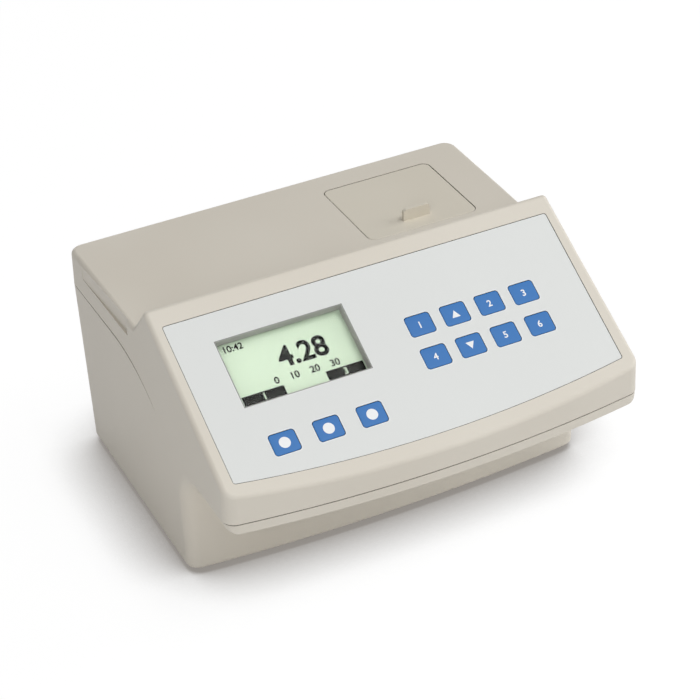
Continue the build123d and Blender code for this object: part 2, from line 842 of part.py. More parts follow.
# Sample lid: flat plate with an upright finger tab, two hinge knuckles and a light-tight skirt
with BuildPart() as sample_lid:
    with BuildSketch(Plane.XY.offset(lid_underside)):
        with Locations((lid_centre_x, lid_centre_y)):
            RectangleRounded(lid_width, lid_length, lid_corner_radius)
    extrude(amount=lid_thickness)
    fillet(sample_lid.faces().sort_by(Axis.Z)[-1].edges(), radius=lid_edge_round)
    with BuildSketch(Plane.XY.offset(lid_underside)):
        with Locations((lid_centre_x, well_y)):
            Circle(skirt_radius)
            Circle(skirt_radius - skirt_wall, mode=Mode.SUBTRACT)
    extrude(amount=-skirt_depth)
    with BuildSketch(Plane.XZ.offset(-lid_front_y - tab_from_front - tab_thickness / 2)):
        with Locations((lid_centre_x, deck_height + tab_height / 2 - lid_thickness / 4)):
            tab_outline = Rectangle(tab_width, tab_height + lid_thickness / 2)
        fillet(tab_outline.vertices().group_by(Axis.Z)[-1], radius=tab_round)
    extrude(amount=tab_thickness)
    for side in (-1, 1):
        knuckle_x = lid_centre_x + side * knuckle_spacing / 2
        with BuildSketch(Plane.YZ.offset(knuckle_x - knuckle_length / 2)):
            with Locations((hinge_y, hinge_z)):
                Circle(knuckle_radius)
        extrude(amount=knuckle_length)
    with BuildSketch(Plane.YZ.offset(lid_centre_x - lid_width / 2)):
        with Locations((hinge_y, hinge_z)):
            Circle(pin_radius + pin_clearance)
    extrude(amount=lid_width, mode=Mode.SUBTRACT)
sample_lid.part.label = "sample_lid"
export_step(sample_lid.part, "parts/sample_lid.step")

# Steel hinge pin through the lid and both side walls of the tray
with BuildPart() as lid_pin:
    with BuildSketch(Plane.YZ.offset(lid_centre_x - tray_width / 2 + pin_end_gap)):
        with Locations((hinge_y, hinge_z)):
            Circle(pin_radius)
    extrude(amount=tray_width - 2 * pin_end_gap)
lid_pin.part.label = "lid_pin"
export_step(lid_pin.part, "parts/lid_pin.step")

# Foam ring under the skirt that keeps daylight out of the sample well
with BuildPart() as light_seal:
    with BuildSketch(Plane.XY.offset(seal_underside)):
        with Locations((lid_centre_x, well_y)):
            Circle(skirt_radius)
            Circle(skirt_radius - skirt_wall, mode=Mode.SUBTRACT)
    extrude(amount=seal_thickness)
light_seal.part.label = "light_seal"
export_step(light_seal.part, "parts/light_seal.step")

# Ring that guides a sample vial through the tray floor
with BuildPart() as well_collar:
    with BuildSketch(Plane.XY.offset(block_top)):
        with Locations((lid_centre_x, well_y)):
            Circle(collar_radius)
            Circle(well_radius + collar_bore_clearance, mode=Mode.SUBTRACT)
    extrude(amount=collar_top - block_top)
    collar_mouth = well_collar.faces().sort_by(Axis.Z)[-1].inner_wires().edges()
    chamfer(collar_mouth, length=collar_mouth_bevel)
well_collar.part.label = "well_collar"
export_step(well_collar.part, "parts/well_collar.step")

# Optical block: sample well with the lamp port and two detector ports, one straight on and one at 90 degrees
with BuildPart() as optical_block:
    with BuildSketch(Plane.XY.offset(block_foot_height)):
        with Locations((lid_centre_x, well_y)):
            Rectangle(block_foot_size, block_foot_size)
    extrude(amount=block_foot_thickness)
    with BuildSketch(Plane.XY.offset(block_foot_height)):
        with Locations((lid_centre_x, well_y)):
            Rectangle(block_size, block_size)
    extrude(amount=block_top - block_foot_height)
    with BuildSketch(Plane.XY.offset(block_top)):
        with Locations((lid_centre_x, well_y)):
            Circle(well_radius)
    extrude(amount=well_bottom - block_top, mode=Mode.SUBTRACT)
    with BuildSketch(*block_ports):
        Circle(beam_radius)
    extrude(amount=-block_size / 2, mode=Mode.SUBTRACT)
    with BuildSketch(*block_ports):
        Circle(lens_radius + optics_fit)
    extrude(amount=-lens_seat_depth, mode=Mode.SUBTRACT)
    with BuildSketch(*block_ports):
        with Locations(*sensor_screw_places):
            Circle(screw_shank_radius + screw_fit)
    extrude(amount=-screw_grip - pilot_spare, mode=Mode.SUBTRACT)
    with BuildSketch(Plane.XY.offset(block_foot_height)):
        with Locations((lid_centre_x, well_y)):
            with GridLocations(block_screw_pitch, block_screw_pitch, 2, 2):
                Circle(screw_shank_radius + screw_clearance)
    extrude(amount=block_foot_thickness, mode=Mode.SUBTRACT)
optical_block.part.label = "optical_block"
export_step(optical_block.part, "parts/optical_block.step")

# Three lenses in the seats of the optical block
with BuildPart() as beam_lenses:
    for port in block_ports:
        add(port.offset(-lens_seat_depth) * beam_lens())
beam_lenses.part.label = "beam_lenses"
export_step(beam_lenses.part, "parts/beam_lenses.step")

# Holder that centres the lamp on its port
with BuildPart() as lamp_holder:
    with BuildSketch(lamp_port):
        Rectangle(holder_size, holder_size)
        Circle(lamp_radius + optics_fit, mode=Mode.SUBTRACT)
        with Locations(*sensor_screw_places):
            Circle(screw_shank_radius + screw_clearance, mode=Mode.SUBTRACT)
    extrude(amount=holder_thickness)
    with BuildSketch(lamp_port.offset(holder_thickness)):
        Circle(lamp_flange_radius + optics_fit)
    extrude(amount=-lamp_flange_thickness - optics_fit, mode=Mode.SUBTRACT)
lamp_holder.part.label = "lamp_holder"
export_step(lamp_holder.part, "parts/lamp_holder.step")

# Infrared lamp with its flange against the lamp board
with BuildPart() as lamp:
    with BuildSketch(lamp_port.offset(holder_thickness)):
        Circle(lamp_flange_radius)
    extrude(amount=-lamp_flange_thickness)
    with BuildSketch(lamp_port.offset(holder_thickness)):
        Circle(lamp_radius)
    extrude(amount=lamp_radius - lamp_length)
    with Locations(lamp_port.offset(holder_thickness + lamp_radius - lamp_length)):
        Sphere(lamp_radius)
lamp.part.label = "lamp"
export_step(lamp.part, "parts/lamp.step")

# Holders of the two light detectors
with BuildPart() as detector_holders:
    with BuildSketch(*detector_ports):
        Rectangle(holder_size, holder_size)
        Circle(detector_radius + optics_fit, mode=Mode.SUBTRACT)
        with Locations(*sensor_screw_places):
            Circle(screw_shank_radius + screw_clearance, mode=Mode.SUBTRACT)
    extrude(amount=holder_thickness)
detector_holders.part.label = "detector_holders"
export_step(detector_holders.part, "parts/detector_holders.step")

# Light detectors, flush with the back of their holders
with BuildPart() as detectors:
    with BuildSketch(*[port.offset(holder_thickness) for port in detector_ports]):
        Circle(detector_radius)
    extrude(amount=-detector_length)
detectors.part.label = "detectors"
export_step(detectors.part, "parts/detectors.step")

# Small circuit boards behind the lamp and the detectors
with BuildPart() as sensor_boards:
    with BuildSketch(*[port.offset(holder_thickness) for port in block_ports]):
        Rectangle(sensor_board_size, sensor_board_size)
        with Locations(*sensor_screw_places):
            Circle(screw_shank_radius + screw_clearance, mode=Mode.SUBTRACT)
    extrude(amount=board_thickness)
sensor_boards.part.label = "sensor_boards"
export_step(sensor_boards.part, "parts/sensor_boards.step")

# Screws of the optics: four in the block's foot and two through each holder
with BuildPart() as optics_screws:
    for side in (-1, 1):
        for end in (-1, 1):
            x = lid_centre_x + side * block_screw_pitch / 2
            y = well_y + end * block_screw_pitch / 2
            seat = Plane(origin=(x, y, block_foot_height + block_foot_thickness))
            add(seat * pan_screw(block_foot_thickness + screw_grip))
    for port in block_ports:
        for place in sensor_screw_places:
            seat = port.offset(holder_thickness + board_thickness) * Location((*place, 0))
            add(seat * pan_screw(holder_thickness + board_thickness + screw_grip))
optics_screws.part.label = "optics_screws"
export_step(optics_screws.part, "parts/optics_screws.step")

# Main circuit board on the base's standoffs
with BuildPart() as main_board:
    with BuildSketch(Plane.XY.offset(board_underside)):
        with Locations((main_board_centre_x, board_centre_y)):
            Rectangle(main_board_width, main_board_length)
            with GridLocations(board_screw_pitch_x, board_screw_pitch_y, 2, 2):
                Circle(screw_shank_radius + screw_clearance, mode=Mode.SUBTRACT)
    extrude(amount=board_thickness)
main_board.part.label = "main_board"
export_step(main_board.part, "parts/main_board.step")

# Chips, capacitors and the two ribbon connectors on the main board
with BuildPart() as board_components:
    with BuildSketch(Plane.XY.offset(board_top)):
        with Locations((main_board_centre_x, board_centre_y)):
            with GridLocations(chip_pitch, chip_pitch, 2, 1):
                Rectangle(chip_size, chip_size)
    extrude(amount=chip_thickness)
    with BuildSketch(Plane.XY.offset(board_top)):
        with Locations((main_board_centre_x, board_rear_y - capacitor_from_rear)):
            with GridLocations(capacitor_pitch, capacitor_pitch, 3, 1):
                Circle(capacitor_radius)
    extrude(amount=capacitor_height)
    with BuildSketch(Plane.XY.offset(board_top)):
        with Locations((window_u, connector_y)):
            Rectangle(display_ribbon_width + 2 * connector_rim, connector_length)
        with Locations((keypad_ribbon_x, connector_y)):
            Rectangle(keypad_ribbon_width + 2 * connector_rim, connector_length)
    extrude(amount=connector_height)
board_components.part.label = "board_components"
export_step(board_components.part, "parts/board_components.step")

# Screws of the main board
with BuildPart() as board_screws:
    for side in (-1, 1):
        for end in (-1, 1):
            x = main_board_centre_x + side * board_screw_pitch_x / 2
            y = board_centre_y + end * board_screw_pitch_y / 2
            add(Plane(origin=(x, y, board_top)) * pan_screw(board_thickness + screw_grip))
board_screws.part.label = "board_screws"
export_step(board_screws.part, "parts/board_screws.step")

# Flat cable from the main board to the display board
with BuildPart() as display_ribbon:
    ribbon_top = under_panel(window_v, display_board_depth + board_thickness)
    add(flat_ribbon(window_u, display_ribbon_width, ribbon_top))
display_ribbon.part.label = "display_ribbon"
export_step(display_ribbon.part, "parts/display_ribbon.step")

# Flat cable from the main board to the keypad board
with BuildPart() as keypad_ribbon:
    keypad_end = under_panel(keypad_ribbon_v, keypad_depth + board_thickness)
    add(flat_ribbon(keypad_ribbon_x, keypad_ribbon_width, keypad_end))
keypad_ribbon.part.label = "keypad_ribbon"
export_step(keypad_ribbon.part, "parts/keypad_ribbon.step")

# Direct current inlet with its centre pin
with BuildPart() as power_jack:
    with BuildSketch(Plane.XZ.offset(-socket_face_y)):
        with Locations((jack_x, board_top + jack_height / 2)):
            Rectangle(jack_width, jack_height)
    extrude(amount=jack_length)
    with BuildSketch(Plane.XZ.offset(-socket_face_y)):
        with Locations((jack_x, board_top + jack_height / 2)):
            Circle(jack_bore_radius)
            Circle(jack_pin_radius, mode=Mode.SUBTRACT)
    extrude(amount=jack_bore_depth, mode=Mode.SUBTRACT)
power_jack.part.label = "power_jack"
export_step(power_jack.part, "parts/power_jack.step")

# Square data socket with its tongue
with BuildPart() as usb_socket:
    with BuildSketch(Plane.XZ.offset(-socket_face_y)):
        with Locations((usb_x, board_top + usb_height / 2)):
            Rectangle(usb_width, usb_height)
    extrude(amount=usb_length)
    with BuildSketch(Plane.XZ.offset(-socket_face_y)):
        with Locations((usb_x, board_top + usb_height / 2)):
            Rectangle(usb_mouth_width, usb_mouth_height)
            Rectangle(usb_tongue_width, usb_tongue_height, mode=Mode.SUBTRACT)
    extrude(amount=usb_mouth_depth, mode=Mode.SUBTRACT)
usb_socket.part.label = "usb_socket"
export_step(usb_socket.part, "parts/usb_socket.step")

# Switch housing snapped into the rear wall, with two spade terminals
with BuildPart() as switch_body:
    with BuildSketch(Plane.XZ.offset(-back_y)):
        with Locations((switch_x, switch_height)):
            Rectangle(switch_body_width, switch_body_height)
    extrude(amount=switch_body_depth)
    with BuildSketch(Plane.XZ.offset(-back_y)):
        with Locations((switch_x, switch_height)):
            Rectangle(switch_body_width + 2 * switch_flange, switch_body_height + 2 * switch_flange)
    extrude(amount=-switch_flange_thickness)
    with BuildSketch(Plane.XZ.offset(-back_y - switch_flange_thickness)):
        with Locations((switch_x, switch_height)):
            Rectangle(rocker_width + 2 * rocker_clearance, switch_cavity_height)
    extrude(amount=switch_flange_thickness + switch_cavity_depth, mode=Mode.SUBTRACT)
    with BuildSketch(Plane.YZ.offset(switch_x)):
        with Locations((rocker_pivot_y, switch_height)):
            Circle(trunnion_radius + pin_clearance)
    extrude(
        amount=rocker_width / 2 + rocker_clearance + trunnion_length + pin_end_gap / 2,
        both=True,
        mode=Mode.SUBTRACT,
    )
    with BuildSketch(Plane.XZ.offset(-back_y + switch_body_depth)):
        with Locations((switch_x, switch_height)):
            with GridLocations(terminal_pitch, terminal_pitch, 1, 2):
                Rectangle(terminal_width, terminal_thickness)
    extrude(amount=terminal_length)
switch_body.part.label = "switch_body"
export_step(switch_body.part, "parts/switch_body.step")

# Rocker on its trunnions, drawn in the off position with its upper half standing out
with BuildPart() as power_rocker:
    half_rise = rocker_height / 2 * tan(radians(rocker_swing / 2))
    tip = (rocker_reach + rocker_pivot_depth) / cos(radians(rocker_swing / 2)) - half_rise
    with BuildSketch(Plane.YZ.offset(-rocker_width / 2)):
        with BuildLine():
            Polyline(
                (tip, -rocker_height / 2),
                (tip - half_rise, 0),
                (tip, rocker_height / 2),
                (0, rocker_shoulder),
                (-rocker_root, rocker_root),
                (-rocker_root, -rocker_root),
                (0, -rocker_shoulder),
                close=True,
            )
        make_face()
    extrude(amount=rocker_width)
    with BuildSketch(Plane.YZ):
        Circle(trunnion_radius)
    extrude(amount=rocker_width / 2 + rocker_clearance + trunnion_length, both=True)
rocker_place = Location((switch_x, rocker_pivot_y, switch_height), (-rocker_swing / 2, 0, 0))
power_rocker.part = rocker_place * power_rocker.part
power_rocker.part.label = "power_rocker"
export_step(power_rocker.part, "parts/power_rocker.step")

# Rubber feet in shallow recesses under the base
with BuildPart() as feet:
    with BuildSketch():
        with Locations(*foot_places):
            Circle(foot_radius)
    extrude(amount=foot_height + foot_recess)
    chamfer(feet.edges().group_by(Axis.Z)[0], length=foot_edge_bevel)
feet.part.label = "feet"
export_step(feet.part, "parts/feet.step")

# Four long screws that hold the casings together, driven from below
with BuildPart() as case_screws:
    for x, y in case_screw_places:
        seat = Plane(origin=(x, y, case_screw_seat), x_dir=(1, 0, 0), z_dir=(0, 0, -1))
        add(seat * pan_screw(case_boss_joint - case_screw_seat + case_screw_grip))
case_screws.part.label = "case_screws"
export_step(case_screws.part, "parts/case_screws.step")
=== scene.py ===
import bpy
import numpy as np
from math import cos, pi, radians, sin
from mathutils import Matrix, Vector


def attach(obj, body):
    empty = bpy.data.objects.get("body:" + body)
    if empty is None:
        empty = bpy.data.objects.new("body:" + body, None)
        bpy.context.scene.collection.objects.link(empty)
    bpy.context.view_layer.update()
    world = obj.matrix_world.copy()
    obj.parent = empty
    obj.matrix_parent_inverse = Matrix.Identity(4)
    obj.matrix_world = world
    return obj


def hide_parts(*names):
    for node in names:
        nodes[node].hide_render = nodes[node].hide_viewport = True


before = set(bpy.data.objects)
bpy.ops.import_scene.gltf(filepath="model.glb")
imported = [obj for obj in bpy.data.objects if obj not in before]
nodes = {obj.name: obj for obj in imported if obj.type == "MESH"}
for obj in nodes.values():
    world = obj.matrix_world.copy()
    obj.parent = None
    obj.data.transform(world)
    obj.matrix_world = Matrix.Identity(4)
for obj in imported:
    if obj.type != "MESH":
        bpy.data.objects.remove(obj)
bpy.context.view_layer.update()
mm = 0.001

# Camera, set up first: a long lens that looks down at the meter from its left front,
# turned a little about its own axis, as the meter was photographed.
azimuth, elevation, roll = radians(-25.69), radians(34.13), radians(-2.16)
back = Vector((sin(azimuth) * cos(elevation), -cos(azimuth) * cos(elevation), sin(elevation)))
level = Vector((cos(azimuth), sin(azimuth), 0.0))
rise = back.cross(level)
across = level * cos(roll) + rise * sin(roll)
upright = rise * cos(roll) - level * sin(roll)
seen_middle, camera_reach = Vector((9.58, 21.8, 62.6)) * mm, 1315.6 * mm
place = seen_middle + back * camera_reach
turned = Matrix((across, upright, back)).transposed().to_4x4()
lens = bpy.data.cameras.new("studio_camera")
lens.lens = 128.25
lens.sensor_width = 36.0
lens.clip_end = 20.0
camera = bpy.data.objects.new("studio_camera", lens)
camera.matrix_world = Matrix.Translation(place) @ turned
bpy.context.scene.collection.objects.link(camera)
bpy.context.scene.camera = camera
bpy.context.scene.view_settings.view_transform = "Standard"


# Casing mouldings: two thick-walled shells of warm grey ABS that meet at the parting line.
# Injection moulded in a spark-eroded tool, which leaves a fine even grain and a soft sheen.
def shader_group(name, inputs, outputs):
    """Empty shader node group with float inputs (name, default) and outputs (name, socket type)."""
    group = bpy.data.node_groups.new(name, "ShaderNodeTree")
    for label, value in inputs:
        socket = group.interface.new_socket(label, in_out="INPUT", socket_type="NodeSocketFloat")
        socket.default_value = value
    for label, kind in outputs:
        group.interface.new_socket(label, in_out="OUTPUT", socket_type=kind)
    entry = group.nodes.new("NodeGroupInput")
    leave = group.nodes.new("NodeGroupOutput")
    return group, entry, leave


def node(tree, kind, **values):
    """One node in a tree, with its settings and the defaults of its named or numbered inputs."""
    made = tree.nodes.new(kind)
    for key, value in values.items():
        if key.startswith("in_"):
            label = key[3:]
            made.inputs[int(label) if label.isdigit() else label.replace("_", " ")].default_value = value
        else:
            setattr(made, key, value)
    return made


def wire(tree, start, end):
    """Link between two sockets."""
    tree.links.new(start, end)


grain, grain_in, grain_out = shader_group(
    "moulded_grain",
    [("Cells per metre", 2600.0), ("Patch per metre", 9.0), ("Fleck", 0.35)],
    [("Height", "NodeSocketFloat"), ("Tone", "NodeSocketFloat"), ("Sheen", "NodeSocketFloat")],
)
grain_place = node(grain, "ShaderNodeTexCoord")
grain_fine = node(grain, "ShaderNodeTexNoise", in_Detail=3.0, in_Roughness=0.65)
grain_pits = node(grain, "ShaderNodeTexVoronoi", feature="F1")
grain_patch = node(grain, "ShaderNodeTexNoise", in_Detail=2.0, in_Roughness=0.5)
wire(grain, grain_place.outputs["Object"], grain_fine.inputs["Vector"])
wire(grain, grain_place.outputs["Object"], grain_pits.inputs["Vector"])
wire(grain, grain_place.outputs["Object"], grain_patch.inputs["Vector"])
wire(grain, grain_in.outputs["Cells per metre"], grain_fine.inputs["Scale"])
wire(grain, grain_in.outputs["Cells per metre"], grain_pits.inputs["Scale"])
wire(grain, grain_in.outputs["Patch per metre"], grain_patch.inputs["Scale"])
grain_mix = node(grain, "ShaderNodeMath", operation="MULTIPLY_ADD")
wire(grain, grain_pits.outputs["Distance"], grain_mix.inputs[0])
wire(grain, grain_in.outputs["Fleck"], grain_mix.inputs[1])
wire(grain, grain_fine.outputs["Fac"], grain_mix.inputs[2])
wire(grain, grain_mix.outputs[0], grain_out.inputs["Height"])
wire(grain, grain_patch.outputs["Fac"], grain_out.inputs["Tone"])
grain_sheen = node(grain, "ShaderNodeMath", operation="ADD")
grain_half = node(grain, "ShaderNodeMath", operation="MULTIPLY", in_1=0.5)
wire(grain, grain_fine.outputs["Fac"], grain_half.inputs[0])
wire(grain, grain_half.outputs[0], grain_sheen.inputs[0])
grain_less = node(grain, "ShaderNodeMath", operation="MULTIPLY", in_1=0.5)
wire(grain, grain_patch.outputs["Fac"], grain_less.inputs[0])
wire(grain, grain_less.outputs[0], grain_sheen.inputs[1])
wire(grain, grain_sheen.outputs[0], grain_out.inputs["Sheen"])

# Painted shade: deep narrow gaps, such as the parting line, take no light, so a probe of 1.2 mm finds them
# and darkens their colour towards black.
crevice, crevice_in, crevice_out = shader_group(
    "crevice_shade", [("Reach", 1.2 * mm)], [("Open", "NodeSocketFloat")]
)
crevice_probe = node(crevice, "ShaderNodeAmbientOcclusion", samples=8)
crevice_range = node(crevice, "ShaderNodeMapRange", in_1=0.12, in_2=0.48)
wire(crevice, crevice_in.outputs["Reach"], crevice_probe.inputs["Distance"])
wire(crevice, crevice_probe.outputs["AO"], crevice_range.inputs[0])
wire(crevice, crevice_range.outputs[0], crevice_out.inputs["Open"])
painted_shade_black = (0.004, 0.004, 0.003, 1.0)


def linear(red, green, blue, alpha=1.0):
    """Colour written as 0 to 255 screen values, turned to the linear values that a shader takes."""
    screen = np.array([red, green, blue]) / 255.0
    light = np.where(screen <= 0.04045, screen / 12.92, ((screen + 0.055) / 1.055) ** 2.4)
    return (*light.tolist(), alpha)


def blank(name):
    """New material with only its Principled shader and output."""
    made = bpy.data.materials.new(name)
    made.use_nodes = True
    tree = made.node_tree
    return made, tree, tree.nodes["Principled BSDF"]


def between(tree, factor, low, high, low_at=0.0, high_at=1.0):
    """Value that runs from low to high as factor goes from low_at to high_at."""
    span = node(tree, "ShaderNodeMapRange", in_1=low_at, in_2=high_at, in_3=low, in_4=high)
    wire(tree, factor, span.inputs[0])
    return span.outputs[0]


def two_tone(tree, factor, first, second):
    """Colour that runs from first to second with a factor from 0 to 1. Each end is a colour or a socket."""
    blend = node(tree, "ShaderNodeMix", data_type="RGBA")
    wire(tree, factor, blend.inputs[0])
    for place, tone in ((blend.inputs[6], first), (blend.inputs[7], second)):
        if isinstance(tone, tuple):
            place.default_value = tone
        else:
            wire(tree, tone, place)
    return blend.outputs[2]


def moulded(name, light, dark, rough, cells=2600.0, depth=0.012, patch=9.0, fleck=0.35, level=0.5):
    """Moulded plastic or rubber: two close tones in soft patches, grained by the tool's surface, with painted
    shade that darkens the colour towards black in narrow gaps.
    """
    made, tree, shader = blank(name)
    surface = node(tree, "ShaderNodeGroup", node_tree=grain)
    surface.inputs["Cells per metre"].default_value = cells
    surface.inputs["Patch per metre"].default_value = patch
    surface.inputs["Fleck"].default_value = fleck
    spread = between(tree, surface.outputs["Tone"], 0.0, 1.0, 0.3, 0.7)
    painted_gap_shade = node(tree, "ShaderNodeGroup", node_tree=crevice)
    # Painted shade: the colour runs to black where the gap probe finds a narrow gap.
    shown = two_tone(tree, painted_gap_shade.outputs["Open"], painted_shade_black, two_tone(tree, spread, dark, light))
    wire(tree, shown, shader.inputs["Base Color"])
    sheen = between(tree, surface.outputs["Sheen"], rough - 0.06, rough + 0.06, 0.3, 0.7)
    wire(tree, sheen, shader.inputs["Roughness"])
    bump = node(tree, "ShaderNodeBump", in_Strength=0.6, in_Distance=depth * mm)
    wire(tree, surface.outputs["Height"], bump.inputs["Height"])
    wire(tree, bump.outputs["Normal"], shader.inputs["Normal"])
    shader.inputs["Specular IOR Level"].default_value = level
    return made


def finish_nodes(made, *names):
    """Gives CAD nodes this material in place of their plain one."""
    for name in names:
        mesh = nodes[name].data
        mesh.materials.clear()
        mesh.materials.append(made)


casing_plastic = moulded("casing_plastic", linear(222, 216, 204), linear(217, 210, 197), 0.5)
finish_nodes(casing_plastic, "lower_casing", "upper_casing")

# Feet: four soft rubber pads, stuck in shallow recesses under the base.
# Matt; where they meet the table the gap probe darkens their colour: painted shade.
foot_rubber = moulded("foot_rubber", linear(52, 52, 52), linear(40, 40, 41), 0.8, cells=1800.0, depth=0.02)
finish_nodes(foot_rubber, "feet")

# Circuit boards: green solder mask over copper tracks, on glass fibre laminate.
# The tracks stand a few hundredths of a millimetre proud and show lighter through the mask.
tracks, tracks_in, tracks_out = shader_group(
    "board_tracks",
    [("Tracks per metre", 420.0)],
    [("Track", "NodeSocketFloat"), ("Pad", "NodeSocketFloat")],
)
tracks_place = node(tracks, "ShaderNodeTexCoord")
tracks_brick = node(tracks, "ShaderNodeTexBrick", offset=0.5, squash=0.6)
tracks_brick.inputs["Color1"].default_value = (0.0, 0.0, 0.0, 1.0)
tracks_brick.inputs["Color2"].default_value = (0.0, 0.0, 0.0, 1.0)
tracks_brick.inputs["Mortar"].default_value = (1.0, 1.0, 1.0, 1.0)
tracks_brick.inputs["Mortar Size"].default_value = 0.06
tracks_dots = node(tracks, "ShaderNodeTexVoronoi", feature="F1", in_Randomness=0.6)
wire(tracks, tracks_place.outputs["Object"], tracks_brick.inputs["Vector"])
wire(tracks, tracks_place.outputs["Object"], tracks_dots.inputs["Vector"])
wire(tracks, tracks_in.outputs[0], tracks_brick.inputs["Scale"])
wire(tracks, tracks_in.outputs[0], tracks_dots.inputs["Scale"])
wire(tracks, tracks_brick.outputs["Color"], tracks_out.inputs["Track"])
tracks_pad = node(tracks, "ShaderNodeMath", operation="LESS_THAN", in_1=0.16)
wire(tracks, tracks_dots.outputs["Distance"], tracks_pad.inputs[0])
wire(tracks, tracks_pad.outputs[0], tracks_out.inputs["Pad"])


def printed_board(name, mask, track, pad):
    """Circuit board: mask colour, lighter over the tracks, with bare metal at the pads."""
    made, tree, shader = blank(name)
    layout = node(tree, "ShaderNodeGroup", node_tree=tracks)
    covered = two_tone(tree, layout.outputs["Track"], mask, track)
    wire(tree, two_tone(tree, layout.outputs["Pad"], covered, pad), shader.inputs["Base Color"])
    wire(tree, layout.outputs["Pad"], shader.inputs["Metallic"])
    bump = node(tree, "ShaderNodeBump", in_Strength=0.5, in_Distance=0.04 * mm)
    wire(tree, layout.outputs["Track"], bump.inputs["Height"])
    wire(tree, bump.outputs["Normal"], shader.inputs["Normal"])
    shader.inputs["Roughness"].default_value = 0.35
    return made


circuit_board = printed_board("circuit_board", linear(20, 82, 48), linear(44, 120, 70), linear(206, 196, 160))
finish_nodes(circuit_board, "main_board", "keypad_board", "display_board", "sensor_boards")

# Board parts: moulded black packages and nylon connectors, soldered to the main board.
# The same black nylon and acetal serves for the optics' holders, the collar and the rear sockets.
black_plastic = moulded(
    "black_plastic", linear(38, 38, 39), linear(30, 30, 31), 0.42, cells=3400.0, depth=0.008
)
finish_nodes(black_plastic, "board_components", "lamp_holder", "detector_holders", "well_collar")
finish_nodes(black_plastic, "power_jack", "switch_body", "power_rocker")

# Flat cables: tinned conductors side by side in a clear polyester film.
# They rise from the main board and bend once to meet the two boards under the panel.
ribbon_film, tree, shader = blank("ribbon_film")
ribbon_place = node(tree, "ShaderNodeTexCoord")
ribbon_wires = node(tree, "ShaderNodeTexWave", wave_type="BANDS", bands_direction="X", in_Scale=320.0)
wire(tree, ribbon_place.outputs["Object"], ribbon_wires.inputs["Vector"])
ribbon_colour = two_tone(tree, ribbon_wires.outputs["Fac"], linear(205, 208, 214), linear(150, 152, 156))
wire(tree, ribbon_colour, shader.inputs["Base Color"])
ribbon_bump = node(tree, "ShaderNodeBump", in_Strength=0.5, in_Distance=0.03 * mm)
wire(tree, ribbon_wires.outputs["Fac"], ribbon_bump.inputs["Height"])
wire(tree, ribbon_bump.outputs["Normal"], shader.inputs["Normal"])
shader.inputs["Roughness"].default_value = 0.3
finish_nodes(ribbon_film, "keypad_ribbon", "display_ribbon")

# Screws, sheet metal and the hinge pin: zinc plated, tinned or ground steel.
# Rolling and grinding leave fine streaks along one direction and small changes in gloss.
streaks, streaks_in, streaks_out = shader_group(
    "metal_streaks",
    [("Streaks per metre", 900.0), ("Stretch", 0.03)],
    [("Streak", "NodeSocketFloat"), ("Cloud", "NodeSocketFloat")],
)
streaks_place = node(streaks, "ShaderNodeTexCoord")
streaks_pull = node(streaks, "ShaderNodeVectorMath", operation="MULTIPLY")
streaks_axis = node(streaks, "ShaderNodeCombineXYZ", in_1=1.0, in_2=1.0)
streaks_fine = node(streaks, "ShaderNodeTexNoise", in_Detail=2.0)
streaks_cloud = node(streaks, "ShaderNodeTexNoise", in_Scale=140.0, in_Detail=3.0)
wire(streaks, streaks_in.outputs["Stretch"], streaks_axis.inputs[0])
wire(streaks, streaks_place.outputs["Object"], streaks_pull.inputs[0])
wire(streaks, streaks_axis.outputs[0], streaks_pull.inputs[1])
wire(streaks, streaks_pull.outputs[0], streaks_fine.inputs["Vector"])
wire(streaks, streaks_in.outputs["Streaks per metre"], streaks_fine.inputs["Scale"])
wire(streaks, streaks_place.outputs["Object"], streaks_cloud.inputs["Vector"])
wire(streaks, streaks_fine.outputs["Fac"], streaks_out.inputs["Streak"])
wire(streaks, streaks_cloud.outputs["Fac"], streaks_out.inputs["Cloud"])


def worked_metal(name, light, dark, rough, metallic=1.0, lines=900.0):
    """Metal with streaks that change its tone, gloss and surface, and a slow cloudiness of the plating."""
    made, tree, shader = blank(name)
    surface = node(tree, "ShaderNodeGroup", node_tree=streaks)
    surface.inputs["Streaks per metre"].default_value = lines
    surface.inputs["Stretch"].default_value = 0.03
    spread = between(tree, surface.outputs["Cloud"], 0.0, 1.0, 0.3, 0.7)
    wire(tree, two_tone(tree, spread, dark, light), shader.inputs["Base Color"])
    gloss = between(tree, surface.outputs["Streak"], rough - 0.08, rough + 0.08, 0.3, 0.7)
    wire(tree, gloss, shader.inputs["Roughness"])
    bump = node(tree, "ShaderNodeBump", in_Strength=0.4, in_Distance=0.005 * mm)
    wire(tree, surface.outputs["Streak"], bump.inputs["Height"])
    wire(tree, bump.outputs["Normal"], shader.inputs["Normal"])
    shader.inputs["Metallic"].default_value = metallic
    return made


zinc_steel = worked_metal("zinc_steel", linear(196, 197, 196), linear(172, 172, 168), 0.36)
finish_nodes(zinc_steel, "case_screws", "optics_screws", "display_screws", "board_screws")
tinned_steel = worked_metal("tinned_steel", linear(206, 206, 203), linear(184, 184, 180), 0.28)
finish_nodes(tinned_steel, "display_frame", "usb_socket", "key_domes", "detectors")
steel_pin = worked_metal("steel_pin", linear(200, 200, 200), linear(184, 184, 185), 0.22, lines=1600.0)
finish_nodes(steel_pin, "lid_pin")

# Optical block: machined aluminium, anodised black so that no stray light bounces in the well.
# The bore and the three ports show as faint turned rings under the dye.
black_aluminium = worked_metal("black_aluminium", linear(46, 46, 49), linear(34, 34, 37), 0.45, 0.6, 1300.0)
finish_nodes(black_aluminium, "optical_block")


